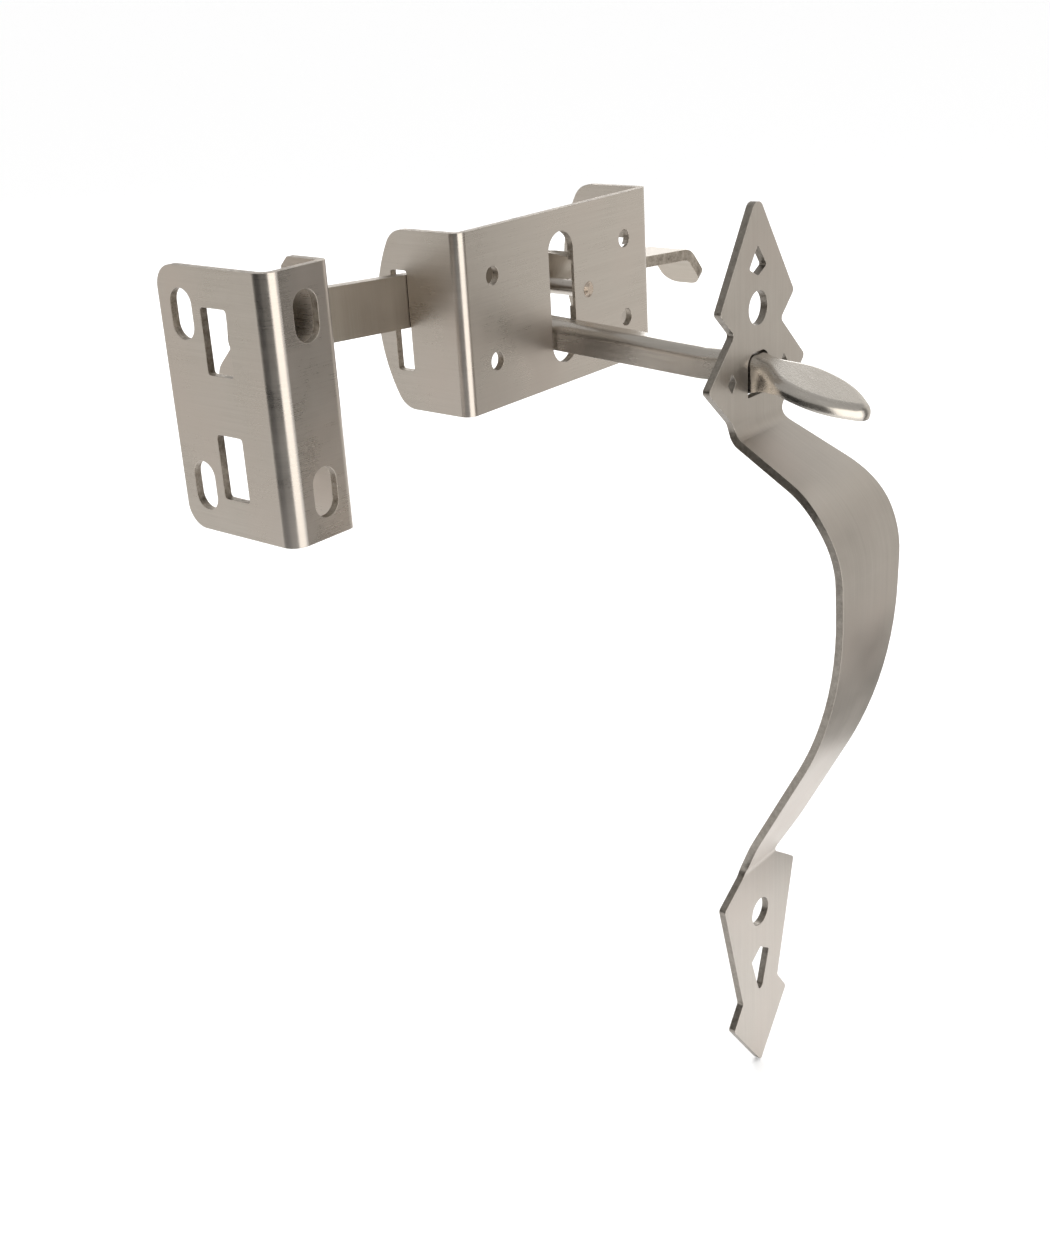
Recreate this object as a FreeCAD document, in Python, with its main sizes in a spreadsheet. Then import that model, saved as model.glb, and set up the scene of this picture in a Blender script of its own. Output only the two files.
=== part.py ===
import FreeCAD, Part
import math
import os
import Sketcher

# Gravity gate latch with a thumb lever, made of pressed and punched sheet steel.
# Frame: +X runs along the gate away from the strike, +Y goes back through the gate,
# +Z is up. The origin is the middle of the case bracket's mounting face, which lies
# on the back of the gate. The handle stands at -Y, on the front of the gate.
# Lengths are in millimetres, angles in degrees.

SIZES = [
    ("sheet", 2.5, "sheet of the brackets and the handle"),
    ("case_width", 98.4, "case bracket, across its two flanges"),
    ("case_height", 57.0, "case bracket, height"),
    ("case_depth", 36.2, "case flange, from the mounting face to the top of its curve"),
    ("case_curve", 50.4, "radius of the curved back edge of a case flange"),
    ("case_corner", 7.8, "rounding between the curved edge and the straight edges"),
    ("case_bend", 3.5, "outside radius of the case bends"),
    ("case_hole_x", 34.4, "case screw holes, sideways from the middle"),
    ("case_hole_z", 13.4, "case screw holes, up and down from the middle"),
    ("case_hole_radius", 3.0, "case screw holes"),
    ("lever_slot_width", 12.9, "obround slot for the thumb lever"),
    ("lever_slot_height", 42.8, "obround slot for the thumb lever"),
    ("bar_slot_front", 22.3, "front edge of the bar slot in the left flange"),
    ("bar_slot_width", 6.9, "bar slot in the left flange"),
    ("bar_slot_height", 32.0, "bar slot in the left flange"),
    ("tab_opening_front", 1.2, "front edge of the opening in the right flange"),
    ("tab_opening_back", 33.4, "back edge of the opening in the right flange"),
    ("tab_opening_low", 4.2, "opening in the right flange, below the middle"),
    ("tab_opening_high", 11.0, "opening in the right flange, above the middle"),
    ("strike_x", -126.4, "outer face of the strike's mounting flange"),
    ("strike_z", -8.6, "middle height of the strike"),
    ("strike_width", 24.5, "strike, across its two flanges"),
    ("strike_height", 78.3, "strike, height"),
    ("strike_depth", 45.9, "mounting flange of the strike"),
    ("strike_corner", 7.0, "rounded back corners of the mounting flange"),
    ("strike_bend_left", 5.0, "outside radius of the bend at the mounting flange"),
    ("strike_bend_right", 3.0, "outside radius of the bend at the catch flange"),
    ("window_front", 17.6, "front edge of the bar windows"),
    ("window_width", 10.8, "bar windows"),
    ("window_low", 8.7, "nearest edge of a bar window to the middle height"),
    ("window_height", 19.4, "bar windows"),
    ("strike_slot_width", 9.2, "obround screw slots of the strike"),
    ("strike_slot_length", 15.0, "obround screw slots of the strike"),
    ("strike_slot_z", 25.4, "screw slots, above and below the middle"),
    ("strike_slot_depth", 36.5, "screw slots in the mounting flange, from the web"),
    ("strike_slot_x", 13.6, "screw slots in the web, from the mounting flange"),
    ("catch_shoulder", 14.8, "straight top edge of the catch flange"),
    ("catch_tooth_high", 10.6, "top of the catch tooth"),
    ("catch_notch_low", 11.0, "bottom of the catch notch, below the middle"),
    ("catch_reach", 54.0, "point where the two sloping edges of the catch would meet"),
    ("catch_nose", 7.0, "rounded nose of the catch"),
    ("bar_thick", 4.0, "latch bar"),
    ("bar_height", 16.5, "latch bar"),
    ("bar_front", 22.6, "front face of the latch bar"),
    ("bar_offset", 1.9, "middle of the bar above its pivot"),
    ("bar_tilt", 4.06, "slope of the bar when it is raised"),
    ("bar_left", 133.4, "length of the bar left of the pivot"),
    ("bar_end_radius", 6.0, "rounding of the left end of the bar"),
    ("twist_start", 4.6, "start of the twist, right of the pivot"),
    ("twist_end", 36.0, "end of the twist, right of the pivot"),
    ("tab_bend", 84.4, "bend of the thumb tab, right of the pivot"),
    ("tab_bend_radius", 5.0, "inside radius of the thumb tab's bend"),
    ("tab_lip", 16.0, "length of the bent lip of the thumb tab"),
    ("tab_radius", 5.5, "rounded corners of the lip"),
    ("pivot_x", 13.8, "pivot of the latch bar"),
    ("pin_radius", 1.9, "shank of the bar pivot pin"),
    ("peen_radius", 2.6, "thick end of the bar pivot pin, peened in the web"),
    ("peen_high", 0.8, "domed end of the bar pivot pin, proud of the web"),
    ("peen_flat", 1.5, "flat middle of the peened end"),
    ("pin_head_radius", 4.4, "head of the bar pivot pin"),
    ("pin_head_thick", 2.4, "head of the bar pivot pin"),
    ("tube_radius", 2.6, "outside of the spacer tube"),
    ("washer_radius", 4.5, "washers at the bar"),
    ("washer_thick", 1.0, "washers at the bar"),
    ("run_gap", 0.1, "running clearance at the pivots"),
    ("hole_gap", 0.05, "clearance of a pin in its running hole"),
    ("handle_front", 74.4, "front face of the handle plates, before the mounting face"),
    ("tip_z", 37.0, "handle: meeting point of its top edges"),
    ("tip_radius", 3.2, "handle: rounding of the tip"),
    ("barb_half", 20.6, "handle: upper barbs, from the middle"),
    ("barb_z", 4.7, "handle: upper barbs"),
    ("neck_half", 12.9, "handle: neck between the barbs and the wings"),
    ("neck_z", -2.7, "handle: neck between the barbs and the wings"),
    ("wing_half", 27.3, "handle: upper wings"),
    ("wing_z", -16.9, "handle: upper wings"),
    ("grip_top_half", 13.0, "handle: upper end of the grip"),
    ("grip_top_z", -30.5, "handle: upper end of the grip"),
    ("grip_top_radius", 5.0, "handle: upper end of the grip"),
    ("grip_wide_half", 18.7, "handle: the grip at its widest"),
    ("grip_wide_z", -53.0, "handle: the grip at its widest"),
    ("grip_wide_radius", 34.0, "handle: the grip at its widest"),
    ("grip_waist_half", 14.3, "handle: the grip's long waist"),
    ("grip_waist_z", -132.0, "handle: the grip's long waist"),
    ("grip_waist_radius", 200.0, "handle: the grip's long waist"),
    ("grip_heel_half", 13.8, "handle: the grip before its lower neck"),
    ("grip_heel_z", -174.0, "handle: the grip before its lower neck"),
    ("grip_heel_radius", 22.0, "handle: the grip before its lower neck"),
    ("grip_low_half", 8.6, "handle: lower end of the grip"),
    ("grip_low_z", -188.2, "handle: lower end of the grip"),
    ("grip_low_radius", 4.0, "handle: lower end of the grip"),
    ("low_wing_half", 22.2, "handle: lower wings"),
    ("low_wing_z", -197.2, "handle: lower wings"),
    ("low_neck_half", 11.3, "handle: neck above the foot"),
    ("low_neck_z", -241.0, "handle: neck above the foot"),
    ("low_barb_half", 17.2, "handle: barbs of the foot"),
    ("low_barb_z", -249.2, "handle: barbs of the foot"),
    ("foot_z", -271.6, "handle: meeting point of its bottom edges"),
    ("foot_radius", 1.0, "handle: rounding of the foot"),
    ("corner_radius", 1.5, "handle: rounding of its other corners"),
    ("bow_start_z", -33.0, "grip: bend below the upper plate"),
    ("bow_high_z", -53.2, "grip: tangents meet above the fullest part"),
    ("bow_low_z", -114.2, "grip: tangents meet below the fullest part"),
    ("bow_end_z", -188.0, "grip: bend above the lower plate"),
    ("bow_out", 39.7, "grip: forward of the plates"),
    ("bow_start_radius", 5.0, "grip: upper bend"),
    ("bow_high_radius", 33.0, "grip: shoulder"),
    ("bow_low_radius", 125.0, "grip: long curve"),
    ("bow_end_radius", 6.0, "grip: lower bend"),
    ("plate_hole_radius", 5.2, "bolt holes of the handle"),
    ("top_hole_z", 3.1, "upper bolt hole"),
    ("low_hole_z", -208.4, "lower bolt hole"),
    ("lever_half", 5.3, "half the width of the thumb lever"),
    ("lever_wall", 1.6, "sheet of the thumb lever"),
    ("lever_round", 3.4, "outside radius of the lever's top edges"),
    ("lever_top", -10.7, "top of the lever at the handle plate"),
    ("lever_slope", 3.0, "slope of the lever arm"),
    ("lever_height", 11.9, "height of the lever's neck in the handle plate"),
    ("arm_height", 9.1, "height of the lever arm behind its joggle"),
    ("arm_drop", 0.5, "joggle of the arm below the neck"),
    ("joggle_front", 11.0, "start of the joggle, behind the plate's front face"),
    ("joggle_back", 18.0, "end of the joggle, behind the plate's front face"),
    ("pad_slope", 17.4, "slope of the thumb pad"),
    ("pad_neck", 4.5, "end of the pad's neck, before the handle plate"),
    ("pad_half", 12.0, "half the width of the thumb pad at its shoulder"),
    ("pad_shoulder", 13.4, "shoulder of the pad, before the handle plate"),
    ("pad_side_half", 12.0, "half the width of the pad where it starts to close"),
    ("pad_side", 29.0, "the pad starts to close, before the handle plate"),
    ("pad_front", 43.0, "meeting point of the pad's sides, before the handle plate"),
    ("pad_deep", 4.1, "turned-down rim of the thumb pad"),
    ("neck_low", 7.6, "lowest edge of the pad's neck, before the handle plate"),
    ("neck_deep", 8.8, "side walls where the neck ends, below the lever's top"),
    ("arm_back", 77.2, "end of the lever's side walls, behind the plate's front face"),
    ("tongue_back", 99.6, "end of the tongue, behind the plate's front face"),
    ("hole_room", 0.7, "room round the lever in its hole"),
    ("pivot_back", 7.4, "lever pivot behind the front face of the handle plate"),
    ("pivot_drop", 8.7, "lever pivot below the lever's top"),
    ("lever_pin_radius", 1.5, "lever pivot pin"),
    ("lever_head_thick", 1.2, "head of the lever pivot pin"),
    ("lever_clip_thick", 0.8, "push-on ring of the lever pivot pin"),
    ("ear_inner", 6.8, "inner face of a bracket ear, from the middle"),
    ("ear_wall", 1.5, "sheet of the lever bracket"),
    ("ear_reach", 3.2, "end of an ear behind and above the lever pivot"),
    ("bracket_height", 21.0, "lever bracket, height of its base"),
]

doc = FreeCAD.newDocument("gravity_gate_latch")
sheet = doc.addObject("Spreadsheet::Sheet", "sizes")


def fill_sheet():
    """Write every driving dimension and its meaning in the sheet."""
    for row, (name, value, meaning) in enumerate(SIZES, start=1):
        sheet.set("A%d" % row, meaning)
        sheet.set("B%d" % row, "%g" % value)
        sheet.setAlias("B%d" % row, name)
    doc.recompute()


def cell(name):
    """A dimension, read from the sheet."""
    return float(sheet.get(name))


class Size:
    """A length, and the sheet expression that gives it."""

    def __init__(self, value, text):
        self.value = value
        self.text = text

    def __add__(self, other):
        other = as_size(other)
        return Size(self.value + other.value, "(%s + %s)" % (self.text, other.text))

    def __sub__(self, other):
        other = as_size(other)
        return Size(self.value - other.value, "(%s - %s)" % (self.text, other.text))

    def __neg__(self):
        return Size(-self.value, "(-1 * %s)" % self.text)

    def __mul__(self, factor):
        return Size(self.value * factor, "(%s * %g)" % (self.text, factor))

    def __truediv__(self, factor):
        return Size(self.value / factor, "(%s / %g)" % (self.text, factor))


def as_size(value):
    if isinstance(value, Size):
        return value
    return Size(value, "(%g)" % value)


def size(name):
    return Size(cell(name), "sizes." + name)


def vec(x, y, z):
    return FreeCAD.Vector(x, y, z)


# ---------------------------------------------------------------- sketch helpers

def new_body(label):
    body = doc.addObject("PartDesign::Body", label)
    body.Label = label
    return body


def origin_plane(body, role):
    for feature in body.Origin.OriginFeatures:
        if feature.Role == role:
            return feature
    raise ValueError(role)


def new_sketch(body, role, name, tilt=None):
    """A sketch on an origin plane. XZ sketches look along +Y, YZ sketches along -X."""
    sketch = body.newObject("Sketcher::SketchObject", name)
    sketch.AttachmentSupport = [(origin_plane(body, role), "")]
    sketch.MapMode = "FlatFace"
    if tilt is not None:
        sketch.AttachmentOffset = tilt
    return sketch


def bind(sketch, kind, index, place, length):
    """Hold one coordinate of a point at a length from the sketch's origin."""
    if abs(length.value) < 1e-9:
        axis = -2 if kind == "DistanceX" else -1
        sketch.addConstraint(Sketcher.Constraint("PointOnObject", index, place, axis))
        return
    if length.value > 0:
        rule = Sketcher.Constraint(kind, -1, 1, index, place, length.value)
        text = length.text
    else:
        rule = Sketcher.Constraint(kind, index, place, -1, 1, -length.value)
        text = "-1 * " + length.text
    number = sketch.addConstraint(rule)
    sketch.setExpression("Constraints[%d]" % number, text)


def polygon(sketch, corners):
    """A closed outline of straight sides with every corner bound to the sheet."""
    first = sketch.GeometryCount
    corners = [(as_size(x), as_size(y)) for x, y in corners]
    points = [vec(x.value, y.value, 0) for x, y in corners]
    count = len(points)
    for number in range(count):
        side = Part.LineSegment(points[number], points[(number + 1) % count])
        sketch.addGeometry(side, False)
    for number in range(count):
        following = first + (number + 1) % count
        sketch.addConstraint(Sketcher.Constraint("Coincident", first + number, 2, following, 1))
    for number, (x, y) in enumerate(corners):
        bind(sketch, "DistanceX", first + number, 1, x)
        bind(sketch, "DistanceY", first + number, 1, y)


def rectangle(sketch, left, right, low, high):
    polygon(sketch, [(left, low), (right, low), (right, high), (left, high)])


def circle(sketch, x, y, radius):
    x, y, radius = as_size(x), as_size(y), as_size(radius)
    middle = vec(x.value, y.value, 0)
    index = sketch.addGeometry(Part.Circle(middle, vec(0, 0, 1), radius.value), False)
    bind(sketch, "DistanceX", index, 3, x)
    bind(sketch, "DistanceY", index, 3, y)
    number = sketch.addConstraint(Sketcher.Constraint("Radius", index, radius.value))
    sketch.setExpression("Constraints[%d]" % number, radius.text)


def obround(sketch, x, y, width, length):
    """An upright slot with round ends."""
    x, y, width, length = as_size(x), as_size(y), as_size(width), as_size(length)
    radius = width / 2
    reach = (length - width) / 2
    high = y + reach
    low = y - reach
    r = radius.value
    top = Part.Circle(vec(x.value, high.value, 0), vec(0, 0, 1), r)
    bottom = Part.Circle(vec(x.value, low.value, 0), vec(0, 0, 1), r)
    upper = sketch.addGeometry(Part.ArcOfCircle(top, 0, math.pi), False)
    left = sketch.addGeometry(Part.LineSegment(vec(x.value - r, high.value, 0),
                                               vec(x.value - r, low.value, 0)), False)
    lower = sketch.addGeometry(Part.ArcOfCircle(bottom, math.pi, 2 * math.pi), False)
    right = sketch.addGeometry(Part.LineSegment(vec(x.value + r, low.value, 0),
                                                vec(x.value + r, high.value, 0)), False)
    ring = [(upper, 2, left, 1), (left, 2, lower, 1), (lower, 2, right, 1), (right, 2, upper, 1)]
    for one, end, other, start in ring:
        sketch.addConstraint(Sketcher.Constraint("Tangent", one, end, other, start))
    bind(sketch, "DistanceX", upper, 3, x)
    bind(sketch, "DistanceY", upper, 3, high)
    bind(sketch, "DistanceX", lower, 3, x)
    bind(sketch, "DistanceY", lower, 3, low)
    sketch.addConstraint(Sketcher.Constraint("Equal", upper, lower))
    number = sketch.addConstraint(Sketcher.Constraint("Radius", upper, radius.value))
    sketch.setExpression("Constraints[%d]" % number, radius.text)


# --------------------------------------------------------------- feature helpers

def pad(body, sketch, length, midplane=False, back=False):
    feature = body.newObject("PartDesign::Pad", sketch.Name + "_pad")
    feature.Profile = sketch
    feature.setExpression("Length", as_size(length).text)
    feature.Midplane = midplane
    feature.Reversed = back
    sketch.Visibility = False
    doc.recompute()
    return feature


def pocket(body, sketch, length, midplane=False, back=False):
    """A cut, which has to take something away."""
    before = body.Shape.Volume
    feature = body.newObject("PartDesign::Pocket", sketch.Name + "_pocket")
    feature.Profile = sketch
    feature.setExpression("Length", as_size(length).text)
    feature.Midplane = midplane
    feature.Reversed = back
    sketch.Visibility = False
    doc.recompute()
    if body.Shape.Volume > before - 1e-3:
        raise ValueError("%s cuts nothing" % feature.Name)
    return feature


def edges_at(shape, direction, test):
    """Names of the straight edges along a direction whose middle passes a test."""
    names = []
    for number, edge in enumerate(shape.Edges, start=1):
        if edge.Curve.TypeId != "Part::GeomLine":
            continue
        if abs(abs(edge.tangentAt(edge.FirstParameter).dot(direction)) - 1) > 1e-6:
            continue
        if test(edge.CenterOfMass):
            names.append("Edge%d" % number)
    return names


def round_edges(body, name, direction, test, radius, kind="PartDesign::Fillet"):
    names = edges_at(body.Shape, direction, test)
    if not names:
        raise ValueError("%s finds no edge" % name)
    tip = body.Tip
    feature = body.newObject(kind, name)
    feature.Base = (tip, names)
    entry = "Radius" if kind == "PartDesign::Fillet" else "Size"
    feature.setExpression(entry, as_size(radius).text)
    doc.recompute()
    return feature


def near(value, target, slack=0.05):
    return abs(value - target) < slack


X_WAY = vec(1, 0, 0)
Y_WAY = vec(0, 1, 0)
Z_WAY = vec(0, 0, 1)
FAR = 120.0            # well past any outline
THROUGH = 20.0         # deeper than any sheet, short of the next wall


# ---------------------------------------------------------------------- the case

def case_bracket():
    """Channel on the back of the gate that carries the bar between its flanges."""
    body = new_body("case_bracket")
    half = size("case_width") / 2
    deep = size("case_depth")
    wall = size("sheet")
    profile = new_sketch(body, "XY_Plane", "case_profile")
    polygon(profile, [(-half, deep), (-half, 0), (half, 0), (half, deep),
                      (half - wall, deep), (half - wall, wall),
                      (wall - half, wall), (wall - half, deep)])
    pad(body, profile, size("case_height"), midplane=True)

    edge = half.value
    inner = edge - wall.value
    round_edges(body, "case_outer_bends", Z_WAY,
                lambda p: near(abs(p.x), edge) and near(p.y, 0), size("case_bend"))
    round_edges(body, "case_inner_bends", Z_WAY,
                lambda p: near(abs(p.x), inner) and near(p.y, wall.value),
                size("case_bend") - wall)

    curve = new_sketch(body, "YZ_Plane", "case_curve")
    rectangle(curve, -FAR, FAR, -FAR, FAR)
    circle(curve, deep - size("case_curve"), 0, size("case_curve"))
    pocket(body, curve, size("case_width") + THROUGH, midplane=True)
    tall = cell("case_height") / 2
    round_edges(body, "case_corners", X_WAY,
                lambda p: near(abs(p.z), tall) and p.y > wall.value + cell("case_bend"),
                size("case_corner"))

    web = new_sketch(body, "XZ_Plane", "case_holes")
    obround(web, 0, 0, size("lever_slot_width"), size("lever_slot_height"))
    for side in (-1, 1):
        for level in (-1, 1):
            circle(web, size("case_hole_x") * side, size("case_hole_z") * level,
                   size("case_hole_radius"))
    circle(web, size("pivot_x"), 0, size("peen_radius"))
    pocket(body, web, THROUGH, midplane=True)

    slot = new_sketch(body, "YZ_Plane", "case_bar_slot")
    front = size("bar_slot_front")
    rectangle(slot, front, front + size("bar_slot_width"),
              -size("bar_slot_height") / 2, size("bar_slot_height") / 2)
    pocket(body, slot, size("case_width"))
    round_edges(body, "case_bar_slot_corners", X_WAY,
                lambda p: p.x < 0 and near(abs(p.z), cell("bar_slot_height") / 2), 1.0)

    opening = new_sketch(body, "YZ_Plane", "case_tab_opening")
    rectangle(opening, size("tab_opening_front"), size("tab_opening_back"),
              -size("tab_opening_low"), size("tab_opening_high"))
    pocket(body, opening, size("case_width"), back=True)
    round_edges(body, "case_tab_corners", X_WAY,
                lambda p: p.x > 0 and near(p.y, cell("tab_opening_back")), 2.0)
    return body


# -------------------------------------------------------------------- the strike

def strike_bracket():
    """Channel on the post: a slotted mounting flange, a slotted web and the catch."""
    body = new_body("strike_bracket")
    wide = size("strike_width")
    wall = size("sheet")
    deep = size("strike_depth")
    tall = size("strike_height") / 2
    reach = size("catch_reach")
    profile = new_sketch(body, "XY_Plane", "strike_profile")
    polygon(profile, [(0, deep), (0, 0), (wide, 0), (wide, reach), (wide - wall, reach),
                      (wide - wall, wall), (wall, wall), (wall, deep)])
    pad(body, profile, size("strike_height"), midplane=True)

    left = size("strike_bend_left")
    right = size("strike_bend_right")
    round_edges(body, "strike_left_outside", Z_WAY,
                lambda p: near(p.x, 0) and near(p.y, 0), left)
    round_edges(body, "strike_left_inside", Z_WAY,
                lambda p: near(p.x, wall.value) and near(p.y, wall.value), left - wall)
    round_edges(body, "strike_right_outside", Z_WAY,
                lambda p: near(p.x, wide.value) and near(p.y, 0), right)
    round_edges(body, "strike_right_inside", Z_WAY,
                lambda p: near(p.x, wide.value - wall.value) and near(p.y, wall.value),
                right - wall)
    round_edges(body, "strike_corners", X_WAY,
                lambda p: near(p.y, deep.value) and near(p.x, wall.value / 2),
                size("strike_corner"))

    cut_catch(body)

    side = new_sketch(body, "YZ_Plane", "strike_windows")
    front = size("window_front")
    low = size("window_low")
    high = low + size("window_height")
    rectangle(side, front, front + size("window_width"), low, high)
    rectangle(side, front, front + size("window_width"), -high, -low)
    for level in (-1, 1):
        obround(side, size("strike_slot_depth"), size("strike_slot_z") * level,
                size("strike_slot_width"), size("strike_slot_length"))
    pocket(body, side, wall * 2, midplane=True)
    round_edges(body, "strike_window_corners", X_WAY,
                lambda p: p.x < wall.value and (near(abs(p.z), low.value)
                                                or near(abs(p.z), high.value)), 1.0)

    web = new_sketch(body, "XZ_Plane", "strike_web_slots")
    for level in (-1, 1):
        obround(web, size("strike_slot_x"), size("strike_slot_z") * level,
                size("strike_slot_width"), size("strike_slot_length"))
    pocket(body, web, wall * 2, midplane=True)
    body.Placement = FreeCAD.Placement(vec(cell("strike_x"), 0, cell("strike_z")),
                                       FreeCAD.Rotation())
    body.setExpression("Placement.Base.x", "sizes.strike_x")
    body.setExpression("Placement.Base.z", "sizes.strike_z")
    return body


def cut_catch(body):
    """Cut the catch flange to a sloping tooth behind a deep notch for the bar."""
    wide = size("strike_width")
    wall = size("sheet")
    tall = size("strike_height") / 2
    reach = size("catch_reach")
    notch = size("window_front")
    tooth = notch + size("window_width")
    crest = size("catch_tooth_high")
    bottom = size("catch_notch_low")
    shoulder = size("catch_shoulder")
    at_catch = FreeCAD.Placement(vec(0, 0, cell("strike_width")), FreeCAD.Rotation())
    upper = new_sketch(body, "YZ_Plane", "catch_upper", at_catch)
    upper.setExpression("AttachmentOffset.Base.z", "sizes.strike_width")
    slant = tall + shoulder - notch
    polygon(upper, [(shoulder, tall), (notch, slant), (notch, -bottom), (tooth, -bottom),
                    (tooth, crest), (reach - crest, crest), (reach, 0),
                    (FAR, 0), (FAR, FAR), (shoulder, FAR)])
    pocket(body, upper, wall * 2, midplane=True)
    lower = new_sketch(body, "YZ_Plane", "catch_lower", at_catch)
    lower.setExpression("AttachmentOffset.Base.z", "sizes.strike_width")
    polygon(lower, [(reach, 0), (FAR, 0), (FAR, -FAR), (reach - tall, -FAR),
                    (reach - tall, -tall)])
    pocket(body, lower, wall * 2, midplane=True)
    round_edges(body, "catch_nose", X_WAY,
                lambda p: near(p.y, reach.value) and near(p.z, 0), size("catch_nose"))
    round_edges(body, "catch_crest", X_WAY,
                lambda p: near(p.z, crest.value) and p.x > wide.value - wall.value, 1.5)


# ----------------------------------------------------------------- the latch bar

TWIST_STEPS = 8
TWIST_EASE = 1.5       # the bar turns faster near its pivot


def latch_bar():
    """Flat bar with a round nose; its right end turns flat and bends to a thumb lip."""
    body = new_body("latch_bar")
    high = size("bar_height") / 2
    middle = size("bar_offset")
    thick = size("bar_thick")
    flat = new_sketch(body, "XZ_Plane", "bar_flat")
    rectangle(flat, -size("bar_left"), size("twist_start"), middle - high, middle + high)
    pad(body, flat, thick, midplane=True)
    round_edges(body, "bar_nose", Y_WAY, lambda p: near(p.x, -cell("bar_left")),
                size("bar_end_radius"))

    sections = []
    start = size("twist_start")
    run = (size("twist_end") - start) / TWIST_STEPS
    for number in range(TWIST_STEPS + 1):
        left = 1 - number / TWIST_STEPS
        sections.append(twist_section(body, number, start + run * number,
                                      90 * (1 - left ** TWIST_EASE)))
    twist = body.newObject("PartDesign::AdditiveLoft", "bar_twist")
    twist.Profile = sections[0]
    twist.Sections = sections[1:]
    twist.Ruled = False
    doc.recompute()

    tab = new_sketch(body, "XZ_Plane", "bar_tab")
    bend = size("tab_bend")
    drop = size("tab_lip") * math.sqrt(0.5)
    above = middle + thick / 2
    below = middle - thick / 2
    step = thick * math.sqrt(0.5)
    setback = thick * math.tan(math.radians(22.5))
    polygon(tab, [(size("twist_end"), below), (bend - setback, below),
                  (bend + drop - step, above - drop - step),
                  (bend + drop, above - drop), (bend, above), (size("twist_end"), above)])
    pad(body, tab, size("bar_height"), midplane=True)
    round_edges(body, "tab_bend_outside", Y_WAY,
                lambda p: near(p.x, bend.value) and near(p.z, above.value),
                thick + size("tab_bend_radius"))
    round_edges(body, "tab_bend_inside", Y_WAY,
                lambda p: near(p.x, bend.value - setback.value) and near(p.z, below.value),
                size("tab_bend_radius"))
    slant = vec(1, 0, 1)
    slant.normalize()
    tip = bend.value + drop.value - step.value / 2
    round_edges(body, "lip_corners", slant, lambda p: near(p.x, tip, 0.3), size("tab_radius"))

    hole = new_sketch(body, "XZ_Plane", "bar_hole")
    circle(hole, 0, 0, size("pin_radius") + size("hole_gap"))
    pocket(body, hole, THROUGH, midplane=True)
    body.Placement = FreeCAD.Placement(
        vec(cell("pivot_x"), cell("bar_front") + cell("bar_thick") / 2, 0),
        FreeCAD.Rotation(Y_WAY, cell("bar_tilt")))
    body.setExpression("Placement.Base.x", "sizes.pivot_x")
    body.setExpression("Placement.Base.y", "sizes.bar_front + sizes.bar_thick / 2")
    body.setExpression("Placement.Rotation.Angle", "sizes.bar_tilt * 1deg")
    return body


def twist_section(body, number, along, angle):
    """The bar's cross-section part way through its quarter turn."""
    turn = FreeCAD.Placement(vec(0, cell("bar_offset"), along.value),
                             FreeCAD.Rotation(Z_WAY, angle))
    section = new_sketch(body, "YZ_Plane", "twist_%d" % number, turn)
    section.setExpression("AttachmentOffset.Base.z", along.text)
    half = size("bar_thick") / 2
    high = size("bar_height") / 2
    rectangle(section, -half, half, -high, high)
    section.Visibility = False
    return section


# -------------------------------------------------------------------- the pivots

def cylinder(name, radius, height, x, y, z, axis):
    """A cylinder along +Y or +X whose sizes and place are bound to the sheet."""
    shape = doc.addObject("Part::Cylinder", name)
    shape.setExpression("Radius", as_size(radius).text)
    shape.setExpression("Height", as_size(height).text)
    turn = FreeCAD.Rotation(X_WAY, -90) if axis == "Y" else FreeCAD.Rotation(Y_WAY, 90)
    shape.Placement = FreeCAD.Placement(vec(0, 0, 0), turn)
    for letter, place in (("x", x), ("y", y), ("z", z)):
        shape.setExpression("Placement.Base." + letter, as_size(place).text)
    return shape


def tube(label, outer, inner, height, x, y, z, axis):
    """A ring or tube: one cylinder bored by another."""
    solid = cylinder(label + "_outer", outer, height, x, y, z, axis)
    bore = cylinder(label + "_bore", inner, height, x, y, z, axis)
    ring = doc.addObject("Part::Cut", label)
    ring.Base = solid
    ring.Tool = bore
    ring.Label = label
    return ring


def fused(label, parts):
    whole = doc.addObject("Part::MultiFuse", label)
    whole.Shapes = parts
    whole.Label = label
    return whole


def bar_pivot():
    """Pin with a head at the back, a spacer tube and two washers, peened at the web."""
    x = size("pivot_x")
    wall = size("sheet")
    washer = size("washer_thick")
    front_washer = size("bar_front") - size("run_gap") - washer
    back_washer = size("bar_front") + size("bar_thick") + size("run_gap")
    head = back_washer + washer
    peen = cell("peen_high")
    shank = cylinder("pin_shank", size("pin_radius"), head, x, 0, 0, "Y")
    end = cylinder("pin_thick_end", size("peen_radius"), wall, x, 0, 0, "Y")
    cap = cylinder("pin_head", size("pin_head_radius"), size("pin_head_thick"),
                   x, head, 0, "Y")
    dome = doc.addObject("Part::Cone", "pin_peen")
    dome.setExpression("Radius1", "sizes.peen_flat")
    dome.setExpression("Radius2", "sizes.peen_radius")
    dome.setExpression("Height", "sizes.peen_high")
    dome.Placement = FreeCAD.Placement(vec(cell("pivot_x"), -peen, 0),
                                       FreeCAD.Rotation(X_WAY, -90))
    dome.setExpression("Placement.Base.x", x.text)
    fused("bar_pivot_pin", [shank, end, cap, dome])
    tube("bar_spacer_tube", size("tube_radius"), size("pin_radius"),
         front_washer - wall, x, wall, 0, "Y")
    tube("bar_washer_front", size("washer_radius"), size("pin_radius"),
         washer, x, front_washer, 0, "Y")
    tube("bar_washer_back", size("washer_radius"), size("pin_radius"),
         washer, x, back_washer, 0, "Y")


# -------------------------------------------------------------------- the handle

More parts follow.
